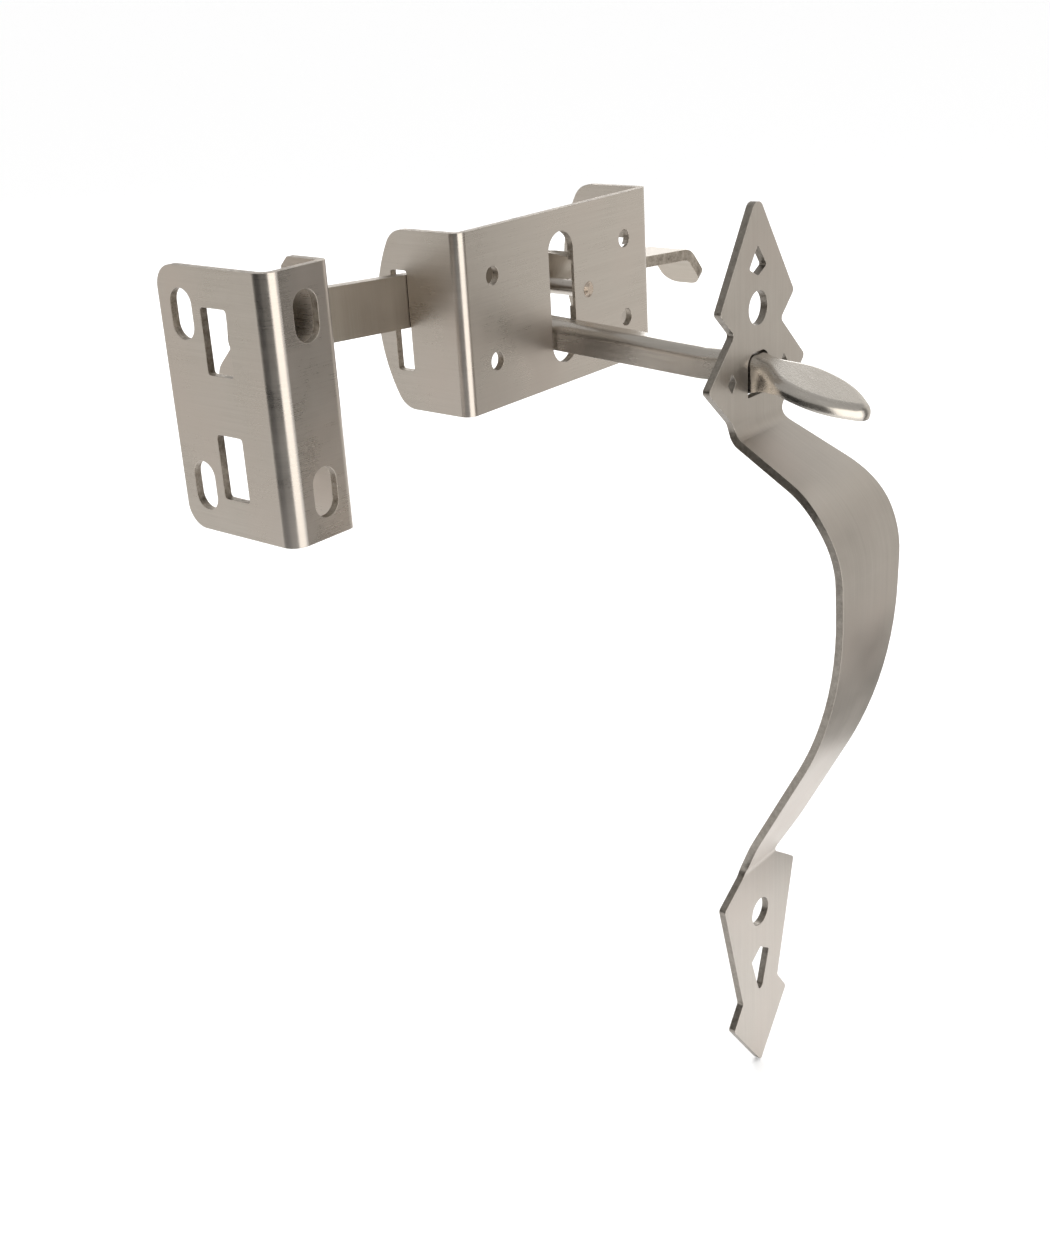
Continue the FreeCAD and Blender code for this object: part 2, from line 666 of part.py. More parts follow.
# One side of the handle's outline: distance from the middle, height, rounding.
HANDLE_EDGE = [
    ("barb_half", "barb_z", "corner_radius"),
    ("neck_half", "neck_z", "corner_radius"),
    ("wing_half", "wing_z", "corner_radius"),
    ("grip_top_half", "grip_top_z", "grip_top_radius"),
    ("grip_wide_half", "grip_wide_z", "grip_wide_radius"),
    ("grip_waist_half", "grip_waist_z", "grip_waist_radius"),
    ("grip_heel_half", "grip_heel_z", "grip_heel_radius"),
    ("grip_low_half", "grip_low_z", "grip_low_radius"),
    ("low_wing_half", "low_wing_z", "corner_radius"),
    ("low_neck_half", "low_neck_z", "corner_radius"),
    ("low_barb_half", "low_barb_z", "corner_radius"),
]

# Bends of the handle's front face: height, bend radius and whether it stands forward.
GRIP_BENDS = [
    ("bow_start_z", "bow_start_radius", False),
    ("bow_high_z", "bow_high_radius", True),
    ("bow_low_z", "bow_low_radius", True),
    ("bow_end_z", "bow_end_radius", False),
]

# Kite-shaped holes: middle, top, shoulders, half width, foot, rounding of the foot.
KITES = [
    (0, 21.9, 15.2, 4.8, 12.6, 1.4),
    (14.7, -13.4, -16.8, 2.3, -20.1, 0.6),
    (-14.7, -13.4, -16.8, 2.3, -20.1, 0.6),
    (0, -222.9, -226.6, 5.6, -243.9, 1.6),
]


def rounded_wire(corners):
    """A closed wire through corners (point, radius), each rounded by an arc."""
    count = len(corners)
    starts = []
    ends = []
    for number in range(count):
        here, radius = corners[number]
        before = (corners[number - 1][0] - here).normalize()
        after = (corners[(number + 1) % count][0] - here).normalize()
        angle = before.getAngle(after)
        reach = radius / math.tan(angle / 2)
        starts.append(here + before * reach)
        ends.append(here + after * reach)
    edges = []
    for number in range(count):
        here, radius = corners[number]
        following = (number + 1) % count
        if radius > 0:
            inward = (starts[number] + ends[number]) * 0.5 - here
            half = math.asin(radius / (starts[number] - here).Length
                             / math.hypot(1, radius / (starts[number] - here).Length))
            middle = here + inward.normalize() * (radius / math.sin(half) - radius)
            edges.append(Part.Arc(starts[number], middle, ends[number]).toShape())
        edges.append(Part.LineSegment(ends[number], starts[following]).toShape())
    return Part.Wire(edges)


def strap_side():
    """The strap from the side: its front line and, one sheet behind, its back line."""
    line = [(0.0, cell("tip_z"), 0.0)]
    for height, radius, forward in GRIP_BENDS:
        line.append((-cell("bow_out") if forward else 0.0, cell(height), cell(radius)))
    line.append((0.0, cell("foot_z"), 0.0))
    front = [(vec(0, y, z), radius) for y, z, radius in line]
    behind = []
    for number in range(len(line)):
        here, radius = front[number]
        before = front[max(number - 1, 0)][0]
        after = front[min(number + 1, len(line) - 1)][0]
        inward = (here - before) if number else (after - here)
        onward = (after - here) if number < len(line) - 1 else inward
        way_in = vec(0, -inward.z, inward.y).normalize()
        way_on = vec(0, -onward.z, onward.y).normalize()
        mean = (way_in + way_on).normalize()
        shift = mean * (cell("sheet") / mean.dot(way_in))
        turning = inward.cross(onward).x
        change = cell("sheet") if turning < 0 else -cell("sheet")
        behind.append((here + shift, radius + change if radius else 0.0))
    return rounded_wire(front + behind[::-1])


def handle_outline():
    """The flat outline of the handle, mirrored about its middle."""
    side = [(cell(half), cell(z), cell(radius)) for half, z, radius in HANDLE_EDGE]
    right = [(vec(x, 0, z), radius) for x, z, radius in side]
    left = [(vec(-x, 0, z), radius) for x, z, radius in reversed(side)]
    tip = [(vec(0, 0, cell("tip_z")), cell("tip_radius"))]
    foot = [(vec(0, 0, cell("foot_z")), cell("foot_radius"))]
    return rounded_wire(tip + right + foot + left)


def kite(x, top, shoulder, half, foot, radius):
    """A kite-shaped hole: pointed top, two shoulders and a rounded foot."""
    sharp = 0.6
    return rounded_wire([(vec(x, 0, top), sharp), (vec(x + half, 0, shoulder), sharp),
                         (vec(x, 0, foot), radius), (vec(x - half, 0, shoulder), sharp)])


def lever_hole():
    """The round-topped hole that the thumb lever passes through."""
    room = cell("hole_room")
    half = cell("lever_half") + room
    top = cell("lever_top") + room
    low = cell("lever_top") - cell("lever_height") - room
    crown = cell("lever_round") + room
    sharp = 0.5
    return rounded_wire([(vec(half, 0, top), crown), (vec(half, 0, low), sharp),
                         (vec(-half, 0, low), sharp), (vec(-half, 0, top), crown)])


def through_plate(wire):
    """A cutter through both faces of the handle's plates."""
    face = Part.Face(wire)
    face.translate(vec(0, -cell("sheet"), 0))
    return face.extrude(vec(0, 3 * cell("sheet"), 0))


def handle_pull():
    """One strap: an upper spear plate, a bowed grip and a lower spear plate."""
    side = Part.Face(strap_side())
    wide = 2 * cell("wing_half") + 2
    side.translate(vec(-wide / 2, 0, 0))
    strap = side.extrude(vec(wide, 0, 0))
    outline = Part.Face(handle_outline())
    outline.translate(vec(0, -FAR, 0))
    shape = strap.common(outline.extrude(vec(0, 2 * FAR, 0)))
    holes = [kite(*numbers) for numbers in KITES]
    holes.append(lever_hole())
    for name in ("top_hole_z", "low_hole_z"):
        edge = Part.Circle(vec(0, 0, cell(name)), Y_WAY, cell("plate_hole_radius")).toShape()
        holes.append(Part.Wire([edge]))
    shape = shape.cut([through_plate(wire) for wire in holes])
    feature = doc.addObject("Part::Feature", "handle_pull")
    feature.Label = "handle_pull"
    feature.Shape = shape.Solids[0] if len(shape.Solids) == 1 else shape
    feature.Placement = FreeCAD.Placement(vec(0, -cell("handle_front"), 0), FreeCAD.Rotation())
    return feature


# --------------------------------------------------------------- the thumb lever

PAD_RADII = (6.0, 16.0, 22.0, 5.5)    # pad: neck, shoulder, closing sides, tip


# Rounding of the bracket's ears, and how far its washers reach past the pin.
EAR_ROUND = 2.6
WASHER_WIDER = 2.1


def lever_section(half, top, low, wall, crown):
    """An inverted channel, as a wire in the XZ plane."""
    return rounded_wire([
        (vec(half, 0, top), crown), (vec(half, 0, low), 0),
        (vec(half - wall, 0, low), 0), (vec(half - wall, 0, top - wall), crown - wall),
        (vec(wall - half, 0, top - wall), crown - wall), (vec(wall - half, 0, low), 0),
        (vec(-half, 0, low), 0), (vec(-half, 0, top), crown)])


def pad_outline(start):
    """The thumb pad from above: a neck that widens to a shoulder and closes to a tip."""
    neck, shoulder, closing, tip = PAD_RADII
    side = [
        (cell("lever_half"), start, 0.0),
        (cell("lever_half"), -cell("pad_neck"), neck),
        (cell("pad_half"), -cell("pad_shoulder"), shoulder),
        (cell("pad_side_half"), -cell("pad_side"), closing),
    ]
    right = [(vec(x, y, 0), radius) for x, y, radius in side]
    left = [(vec(-x, y, 0), radius) for x, y, radius in reversed(side)]
    return rounded_wire(right + [(vec(0, -cell("pad_front"), 0), tip)] + left)


def rounded_block(outline, top, radius):
    """An outline extruded down from a height, its top rim rounded except at the arm."""
    block = Part.Face(outline).extrude(vec(0, 0, -2 * cell("lever_height")))
    back = block.BoundBox.YMax
    rim = [edge for edge in block.Edges if near(edge.BoundBox.ZMin, 0)
           and near(edge.BoundBox.ZMax, 0) and not near(edge.CenterOfMass.y, back)]
    block = block.makeFillet(radius, rim)
    block.translate(vec(0, 0, top))
    return block


def turned(shape, angle):
    """A shape turned about the crease between the arm and the pad."""
    shape.Placement = FreeCAD.Placement(vec(0, 0, 0), FreeCAD.Rotation(X_WAY, angle))
    return shape


def mitre(side):
    """Half of space on one side of the mitre between arm and pad: 1 is the arm's side."""
    low = 0 if side > 0 else -FAR
    block = Part.makeBox(2 * FAR, FAR, 2 * FAR, vec(-FAR, low, -FAR))
    return turned(block, (cell("lever_slope") + cell("pad_slope")) / 2)


def below_pad():
    """All that lies under the lower edge of the pad's rim."""
    slope = math.radians(cell("pad_slope"))
    half_crease = (slope - math.radians(cell("lever_slope"))) / 2
    seam = cell("lever_height") / math.cos(half_crease)
    crease = vec(0, seam * math.sin(slope - half_crease), -seam * math.cos(slope - half_crease))
    neck = vec(0, -cell("neck_low"), -cell("neck_deep"))
    past = crease + (crease - neck)
    rim = cell("pad_deep") / math.cos(slope)
    edge = [past, neck]
    for y in (-cell("pad_shoulder"), -FAR):
        edge.append(vec(0, y, y * math.tan(slope) - rim))
    edge += [vec(0, -FAR, -FAR), vec(0, past.y, -FAR), past]
    face = Part.Face(Part.makePolygon(edge))
    face.translate(vec(-FAR, 0, 0))
    return face.extrude(vec(2 * FAR, 0, 0))


def thumb_pad():
    """The pressed pad: a shell with a flat top and a rounded, turned-down rim."""
    wall = cell("lever_wall")
    crown = cell("lever_round")
    back = cell("lever_height")
    outer = rounded_block(pad_outline(back), 0, crown)
    inner = rounded_block(pad_outline(back + 2 * wall).makeOffset2D(-wall), -wall,
                          crown - wall)
    pad_shell = turned(outer.cut(inner), cell("pad_slope"))
    return pad_shell.cut([mitre(1), below_pad()])


def lever_arm():
    """The deep neck, a joggle down to the channel arm, and the tongue behind it."""
    half = cell("lever_half")
    wall = cell("lever_wall")
    crown = cell("lever_round")
    tall = cell("lever_height")
    drop = cell("arm_drop")
    front = cell("joggle_front")
    back = cell("joggle_back")
    neck = Part.Face(lever_section(half, 0, -tall, wall, crown))
    neck.translate(vec(0, -tall, 0))
    neck = neck.extrude(vec(0, tall + front, 0))
    bend = Part.Face(lever_section(half, 0, -cell("arm_height"), wall, crown))
    bend.translate(vec(0, front, 0))
    bend = bend.extrude(vec(0, back - front, -drop))
    arm = Part.Face(lever_section(half, -drop, -drop - cell("arm_height"), wall, crown))
    arm.translate(vec(0, back, 0))
    arm = arm.extrude(vec(0, cell("arm_back") - back, 0))
    low = -drop - crown - wall / 2
    tongue = Part.Face(lever_section(half, -drop, low, wall, crown))
    tongue.translate(vec(0, back, 0))
    tongue = tongue.extrude(vec(0, cell("tongue_back") - back, 0))
    whole = neck.fuse([bend, arm, tongue]).removeSplitter()
    return turned(whole, cell("lever_slope")).cut(mitre(-1))


def thumb_lever():
    """Pressed lever: a channel arm, a tongue under the bar and a thumb pad in front."""
    half = cell("lever_half")
    shape = lever_arm().fuse(thumb_pad())
    bore = Part.makeCylinder(cell("lever_pin_radius") + cell("hole_gap"), 4 * half,
                             vec(-2 * half, cell("pivot_back"), -cell("pivot_drop")),
                             X_WAY)
    shape = shape.cut(bore)
    feature = doc.addObject("Part::Feature", "thumb_lever")
    feature.Label = "thumb_lever"
    feature.Shape = shape.Solids[0] if len(shape.Solids) == 1 else shape
    feature.Placement = FreeCAD.Placement(
        vec(0, -cell("handle_front"), cell("lever_top")), FreeCAD.Rotation())
    return feature


def lever_bracket():
    """Bracket welded behind the plate: a windowed base and two ears for the pin."""
    body = new_body("lever_bracket")
    back = size("sheet") - size("handle_front")
    wall = size("ear_wall")
    inner = size("ear_inner")
    outer = inner + wall
    pin_y = size("pivot_back") - size("handle_front")
    pin_z = size("lever_top") - size("pivot_drop")
    far = pin_y + size("ear_reach")
    middle = size("lever_top") - size("lever_height") / 2
    level = FreeCAD.Placement(vec(0, 0, middle.value), FreeCAD.Rotation())
    plan = new_sketch(body, "XY_Plane", "bracket_plan", level)
    plan.setExpression("AttachmentOffset.Base.z", middle.text)
    polygon(plan, [(-outer, back), (outer, back), (outer, far), (inner, far),
                   (inner, back + wall), (-inner, back + wall), (-inner, far), (-outer, far)])
    pad(body, plan, size("bracket_height"), midplane=True)
    above = new_sketch(body, "YZ_Plane", "above_the_ears")
    rectangle(above, back + wall, far + wall, pin_z + size("ear_reach"), size("bracket_height"))
    pocket(body, above, outer * 3, midplane=True)
    below = new_sketch(body, "YZ_Plane", "below_the_ears")
    rectangle(below, back + wall, far + wall,
              pin_z - size("bracket_height"), pin_z - size("ear_reach"))
    pocket(body, below, outer * 3, midplane=True)
    round_edges(body, "ear_corners", X_WAY, lambda p: near(p.y, far.value), EAR_ROUND)

    window = new_sketch(body, "XZ_Plane", "bracket_window")
    half = size("lever_half") + size("hole_room")
    tall = size("lever_height") / 2 + size("hole_room") * 2
    rectangle(window, -half, half, middle - tall, middle + tall)
    at_plate = FreeCAD.Placement(vec(0, 0, -back.value), FreeCAD.Rotation())
    window.AttachmentOffset = at_plate
    window.setExpression("AttachmentOffset.Base.z", "-1 * " + back.text)
    pocket(body, window, wall * 2, midplane=True)

    hole = new_sketch(body, "YZ_Plane", "bracket_pin_hole")
    circle(hole, pin_y, pin_z, size("lever_pin_radius"))
    pocket(body, hole, outer * 3, midplane=True)
    return body


def lever_pin():
    """The lever's pin with its head and its push-on ring, and a washer on each side."""
    y = size("pivot_back") - size("handle_front")
    z = size("lever_top") - size("pivot_drop")
    outer = size("ear_inner") + size("ear_wall")
    radius = size("lever_pin_radius")
    head = size("lever_head_thick")
    clip = size("lever_clip_thick")
    shank = cylinder("lever_shank", radius, outer * 2 + clip * 2, -outer, y, z, "X")
    cap = cylinder("lever_head", radius * 2, head, -outer - head, y, z, "X")
    fused("lever_pivot_pin", [cap, shank])
    tube("lever_pin_ring", radius * 2, radius, clip, outer, y, z, "X")
    thick = size("ear_inner") - size("lever_half") - size("run_gap")
    left = tube("washer_left", radius * WASHER_WIDER, radius, thick, -size("ear_inner"), y, z, "X")
    right = tube("washer_right", radius * WASHER_WIDER, radius, thick,
                 size("ear_inner") - thick, y, z, "X")
    pair = doc.addObject("Part::Compound", "lever_washers")
    pair.Links = [left, right]
    pair.Label = "lever_washers"


def finish(names):
    """Check every object, then write one STEP file for each sub-part."""
    doc.recompute()
    for thing in doc.Objects:
        if "Invalid" in thing.State or "Error" in thing.State:
            raise ValueError("%s did not compute: %s" % (thing.Name, thing.State))
    os.makedirs("parts", exist_ok=True)
    for name in names:
        thing = doc.getObjectsByLabel(name)[0]
        shape = thing.Shape
        if shape.isNull() or not shape.isValid():
            raise ValueError("%s has no valid shape" % name)
        shape.exportStep("parts/%s.step" % name)
        box = shape.BoundBox
        print("%-18s solids %d volume %9.1f  x %7.1f %7.1f  y %7.1f %7.1f  z %7.1f %7.1f" % (
            name, len(shape.Solids), shape.Volume, box.XMin, box.XMax,
            box.YMin, box.YMax, box.ZMin, box.ZMax))


fill_sheet()
case_bracket()
strike_bracket()
latch_bar()
bar_pivot()
handle_pull()
lever_bracket()
lever_pin()
thumb_lever()
finish(["case_bracket", "strike_bracket", "latch_bar", "bar_pivot_pin", "bar_spacer_tube",
        "bar_washer_front", "bar_washer_back", "handle_pull", "lever_bracket",
        "lever_pivot_pin", "lever_pin_ring", "lever_washers", "thumb_lever"])
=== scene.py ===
"""The looks of a stainless gravity gate latch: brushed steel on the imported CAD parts.

Then come a floor, the light and a camera. Every length is in metres, in the frame of the
CAD model: +Z up, the gate's face along X, the handle at -Y.
"""

import math

import bmesh
import bpy
from mathutils import Matrix, Vector
from mathutils.bvhtree import BVHTree


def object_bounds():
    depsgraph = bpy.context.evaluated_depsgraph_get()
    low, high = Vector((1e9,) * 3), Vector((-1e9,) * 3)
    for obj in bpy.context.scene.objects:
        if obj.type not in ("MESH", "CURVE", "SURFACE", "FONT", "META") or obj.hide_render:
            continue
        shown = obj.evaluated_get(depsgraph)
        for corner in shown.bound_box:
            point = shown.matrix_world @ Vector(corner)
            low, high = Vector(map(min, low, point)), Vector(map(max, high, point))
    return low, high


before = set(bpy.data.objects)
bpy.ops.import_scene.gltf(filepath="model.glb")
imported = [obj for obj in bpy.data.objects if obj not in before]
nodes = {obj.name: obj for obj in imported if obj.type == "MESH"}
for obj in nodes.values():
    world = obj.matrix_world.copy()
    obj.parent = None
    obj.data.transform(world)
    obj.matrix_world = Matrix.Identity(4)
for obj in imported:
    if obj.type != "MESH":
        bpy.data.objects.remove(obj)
cad_low, cad_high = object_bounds()
middle = 0.5 * (cad_low + cad_high)

MM = 0.001

# Tones in linear light: a bright and a dark one, and a warm one for brushed metal
STEEL = ((0.56, 0.52, 0.475), (0.43, 0.395, 0.355), (0.52, 0.465, 0.42))
LEVER = ((0.57, 0.535, 0.49), (0.46, 0.43, 0.39), (0.53, 0.485, 0.44))
BAR = ((0.44, 0.40, 0.345), (0.30, 0.265, 0.22), (0.40, 0.345, 0.29))
PIN = ((0.62, 0.53, 0.45), (0.40, 0.33, 0.27), (0.62, 0.53, 0.45))
CUT = ((0.50, 0.45, 0.39), (0.16, 0.135, 0.11))
SOFT_CUT = ((0.32, 0.295, 0.26), (0.18, 0.16, 0.14))

# The brushed look: waves to the metre along each axis, and how the layers of tone add up
FLAT_BRUSH = (70.0, 70.0, 5200.0)
UPRIGHT_BRUSH = (5200.0, 90.0, 90.0)
LENGTHWISE_BRUSH = (900.0, 60.0, 900.0)
PIN_BRUSH = (700.0, 700.0, 700.0)
WASHER_BRUSH = (900.0, 900.0, 900.0)
COARSE_BRUSH = 0.22
MOTTLE = 55.0
LEVER_MOTTLE = 45.0
BLOTCH = (0.45, 0.6, 0.4)
GRAIN = (2600.0, 2600.0, 2600.0)
LINE_SHARE = 0.4
COARSE_SHARE = 0.25
CLOUD_SHARE = 0.35
GRAIN_SHARE = 0.25
WARM_SHARE = 0.75
BRUSH_TURN = 0.25
LINE_RELIEF = 0.02 * MM

# The cut edges: waves to the metre, layers of tone, and relief
TORN = (500.0, 500.0, 500.0)
PITS = (1500.0, 1500.0, 1500.0)
STAINS = (120.0, 120.0, 120.0)
TORN_SHARE = 0.45
PIT_SHARE = 0.3
STAIN_SHARE = 0.25
TORN_STRENGTH = 0.8
TORN_RELIEF = 0.08 * MM

# Rounded corners with a painted highlight: rounding, where the painted highlight starts and is
# full, how strong and how bright it is
ROUNDED_HIGHLIGHT = (0.25 * MM, 0.995, 0.9, 0.55)
ROUNDED_HIGHLIGHT_GAIN = 1.35
# The same for the cut edges: their rounded corners get a brighter painted highlight
CUT_ROUNDED_HIGHLIGHT = (0.3 * MM, 0.99, 0.85, 0.8)
CUT_HIGHLIGHT_GAIN = 2.0

# The sheet metal: how far it is through, and how much deeper the metal is behind a cut edge
SHEET = 2.5 * MM
BAR_THICK = 4.0 * MM
CUT_FROM = 1.25
CUT_STEP = 0.01 * MM

# The studio: a round floor under the latch, and cards round it that only reflections see
FLOOR_RADIUS = 40.0
FLOOR_DROP = 0.5 * MM
FLOOR_WHITE = 0.99
FLOOR_ROUGH = 0.9
WORLD_STRENGTH = 1.0
CARD_TINT = (1.0, 0.97, 0.92)
CARD_REACH = 0.55
NEAR_REACH = 0.42
CARD_TALL = 0.5
CARD_STEPS = 12
SKIRT_START = 0.19
SKIRT_TALL = 0.002
CEILING_TINT = (1.0, 0.99, 0.97)
CEILING_RADIUS = 0.56
CEILING_HEIGHT = 0.235
CEILING_BRIGHTNESS = 0.55

# Name, first and last azimuth, brightness, distance at the foot and at the top, height
CARDS = [
    ("far_flag", -170.0, -122.0, 0.82, CARD_REACH, CARD_REACH, CARD_TALL),
    ("left_flag", -122.0, -84.0, 0.03, CARD_REACH, CARD_REACH, CARD_TALL),
    ("side_flag", -84.0, -42.0, 0.14, CARD_REACH, CARD_REACH, CARD_TALL),
    ("front_card", -38.0, 8.0, 2.4, CARD_REACH, CARD_REACH, CARD_TALL),
    ("low_flag", 18.0, 37.0, 0.26, NEAR_REACH, NEAR_REACH, CARD_TALL),
    ("web_flag", 37.0, 46.5, 0.6, NEAR_REACH, NEAR_REACH, CARD_TALL),
    ("right_flag", 46.5, 100.0, 0.92, NEAR_REACH, NEAR_REACH, CARD_TALL),
    ("low_skirt", 20.0, 100.0, 0.38, SKIRT_START, NEAR_REACH, SKIRT_TALL),
]

# Name, azimuth, elevation, distance, width, height, power
SOFTBOXES = [
    ("key_box", -25.0, 60.0, 1.7, 1.3, 1.3, 5.0),
    ("top_box", 118.0, 34.0, 1.8, 1.6, 1.3, 16.0),
]

# The camera: where it looks from, its roll, its place and its lens in millimetres
VIEW_AZIMUTH = -49.183
VIEW_ELEVATION = 22.635
VIEW_ROLL = -3.641
VIEW_PLACE = (-0.4140, -0.3323, 0.1082)
LENS = 47.216
SENSOR_WIDTH = 36.0
CLIP_START = 0.01
CLIP_END = 200.0


# ---------------------------------------------------------------- node helpers

def add(tree, kind, **settings):
    """A new shader node with its settings and, by name, its unlinked inputs."""
    node = tree.nodes.new(kind)
    inputs = settings.pop("inputs", {})
    for name, value in settings.items():
        setattr(node, name, value)
    for name, value in inputs.items():
        node.inputs[name].default_value = value
    return node


def colour(rgb):
    return (*rgb, 1.0)


def grey(value):
    return (value, value, value, 1.0)


def brighter(tone, gain):
    return tuple(min(1.0, gain * part) for part in tone)


def stretched_noise(tree, source, scale, detail=3.0, roughness=0.55):
    """Noise squeezed along each axis by scale, in waves to the metre."""
    mapping = add(tree, "ShaderNodeMapping", inputs={"Scale": scale})
    noise = add(tree, "ShaderNodeTexNoise",
                inputs={"Scale": 1.0, "Detail": detail, "Roughness": roughness})
    tree.links.new(source, mapping.inputs["Vector"])
    tree.links.new(mapping.outputs["Vector"], noise.inputs["Vector"])
    return noise.outputs["Fac"]


def ramp(tree, value, low, high, to_low=0.0, to_high=1.0):
    """The value, taken from low..high to to_low..to_high and kept inside."""
    limits = {"From Min": low, "From Max": high, "To Min": to_low, "To Max": to_high}
    node = add(tree, "ShaderNodeMapRange", inputs=limits)
    tree.links.new(value, node.inputs["Value"])
    return node.outputs["Result"]


def blend_colour(tree, share, low, high):
    """low where share is 0, high where it is 1. Each may be a colour or a socket."""
    node = add(tree, "ShaderNodeMix", data_type="RGBA")
    tree.links.new(share, node.inputs[0])
    for socket, value in ((node.inputs[6], low), (node.inputs[7], high)):
        if isinstance(value, tuple):
            socket.default_value = colour(value)
        else:
            tree.links.new(value, socket)
    return node.outputs[2]


def maths(tree, operation, first, second):
    """Two sockets, or a socket and a number, put through one sum."""
    node = add(tree, "ShaderNodeMath", operation=operation)
    for socket, value in zip(node.inputs, (first, second)):
        if isinstance(value, float):
            socket.default_value = value
        else:
            tree.links.new(value, socket)
    return node.outputs[0]


def layered(tree, layers):
    """The sum of some noises, each with its own share."""
    total = None
    for noise, share in layers:
        part = maths(tree, "MULTIPLY", noise, share)
        total = part if total is None else maths(tree, "ADD", total, part)
    return total


def corner(tree, radius, start, full, share):
    """The rounded normal of the corners, and how much painted highlight each place gets."""
    rounded = add(tree, "ShaderNodeBevel", samples=4, inputs={"Radius": radius}).outputs[0]
    flat = add(tree, "ShaderNodeNewGeometry").outputs["Normal"]
    match = add(tree, "ShaderNodeVectorMath", operation="DOT_PRODUCT")
    tree.links.new(rounded, match.inputs[0])
    tree.links.new(flat, match.inputs[1])
    return rounded, ramp(tree, match.outputs["Value"], start, full, 0.0, share)


def relief(tree, height, normal, strength, depth):
    """A bumped normal on top of another."""
    bump = add(tree, "ShaderNodeBump", inputs={"Strength": strength, "Distance": depth})
    tree.links.new(height, bump.inputs["Height"])
    tree.links.new(normal, bump.inputs["Normal"])
    return bump.outputs[0]


def new_metal(name):
    """An empty metal, with its tree, its shader and the place on the object."""
    material = bpy.data.materials.new(name)
    material.use_nodes = True
    tree = material.node_tree
    shader = tree.nodes["Principled BSDF"]
    shader.inputs["Metallic"].default_value = 1.0
    place = add(tree, "ShaderNodeTexCoord").outputs["Object"]
    return material, tree, shader, place


def finish_metal(tree, shader, base, rough, normal):
    tree.links.new(base, shader.inputs["Base Color"])
    tree.links.new(rough, shader.inputs["Roughness"])
    tree.links.new(normal, shader.inputs["Normal"])


# ---------------------------------------------------------------- steel

def brushed(name, brush, tones, rough, anisotropy=0.0, axis="Z", mottle=MOTTLE,
            line_depth=0.12):
    """Satin steel brushed where brush is small: fine lines, cloudy tone, and a painted
    highlight on the rounded edges.
    """
    material, tree, shader, place = new_metal(name)
    light, dark, warm = tones
    lines = stretched_noise(tree, place, brush, detail=4.0, roughness=0.7)
    coarse = stretched_noise(tree, place, tuple(COARSE_BRUSH * b for b in brush), detail=2.0)
    clouds = stretched_noise(tree, place, (mottle,) * 3, detail=4.0, roughness=0.6)
    blotch = stretched_noise(tree, place, tuple(b * mottle for b in BLOTCH), detail=2.0)
    grain = stretched_noise(tree, place, GRAIN, detail=2.0)

    tone = layered(tree, ((lines, LINE_SHARE), (coarse, COARSE_SHARE), (clouds, CLOUD_SHARE)))
    base = blend_colour(tree, ramp(tree, tone, 0.3, 0.7), dark, light)
    base = blend_colour(tree, ramp(tree, blotch, 0.45, 0.7, 0.0, WARM_SHARE), base, warm)
    rounded, painted_corner_highlight = corner(tree, *ROUNDED_HIGHLIGHT)
    # Painted highlight: the colour is brightened on the rounded corners
    base = blend_colour(tree, painted_corner_highlight, base, brighter(light, ROUNDED_HIGHLIGHT_GAIN))

    cloudy_rough = ramp(tree, clouds, 0.3, 0.7, rough - 0.05, rough + 0.06)
    lined_rough = ramp(tree, lines, 0.3, 0.7, -0.04, 0.04)
    height = maths(tree, "ADD", lines, maths(tree, "MULTIPLY", grain, GRAIN_SHARE))
    finish_metal(tree, shader, base, maths(tree, "ADD", cloudy_rough, lined_rough),
                 relief(tree, height, rounded, line_depth, LINE_RELIEF))

    if anisotropy:
        shader.inputs["Anisotropic"].default_value = anisotropy
        shader.inputs["Anisotropic Rotation"].default_value = BRUSH_TURN
        tangent = add(tree, "ShaderNodeTangent", direction_type="RADIAL", axis=axis)
        tree.links.new(tangent.outputs[0], shader.inputs["Tangent"])
    return material


def sheared(name, tones, rough):
    """A cut edge of the sheet: torn, pitted and stained, with a painted highlight on its
    rounded corners.
    """
    material, tree, shader, place = new_metal(name)
    light, dark = tones
    torn = stretched_noise(tree, place, TORN, detail=4.0, roughness=0.7)
    pits = stretched_noise(tree, place, PITS, detail=3.0, roughness=0.65)
    stains = stretched_noise(tree, place, STAINS, detail=3.0)
    tone = layered(tree, ((torn, TORN_SHARE), (pits, PIT_SHARE), (stains, STAIN_SHARE)))
    base = blend_colour(tree, ramp(tree, tone, 0.36, 0.62), dark, light)
    rounded, painted_cut_highlight = corner(tree, *CUT_ROUNDED_HIGHLIGHT)
    # Painted highlight: the colour of the cut edge is brightened on its rounded corners
    base = blend_colour(tree, painted_cut_highlight, base, brighter(light, CUT_HIGHLIGHT_GAIN))
    finish_metal(tree, shader, base, ramp(tree, pits, 0.3, 0.7, rough - 0.12, rough + 0.12),
                 relief(tree, tone, rounded, TORN_STRENGTH, TORN_RELIEF))
    return material


def cut_faces(node, through):
    """Each face of the node, and whether the metal behind it is deeper than the sheet."""
    mesh = node.data
    points = [vertex.co for vertex in mesh.vertices]
    tree = BVHTree.FromPolygons(points, [tuple(face.vertices) for face in mesh.polygons])
    for face in mesh.polygons:
        start = face.center - CUT_STEP * face.normal
        place, _normal, _index, depth = tree.ray_cast(start, -face.normal)
        yield face, place is None or depth > CUT_FROM * through


def dress(name, face_material, cut_material=None, through=SHEET):
    """Gives a CAD node its face material and, where the sheet is cut, its edge material."""
    node = nodes[name]
    node.data.materials.clear()
    node.data.materials.append(face_material)
    if cut_material is None:
        return
    node.data.materials.append(cut_material)
    for face, is_cut in cut_faces(node, through):
        face.material_index = int(is_cut)


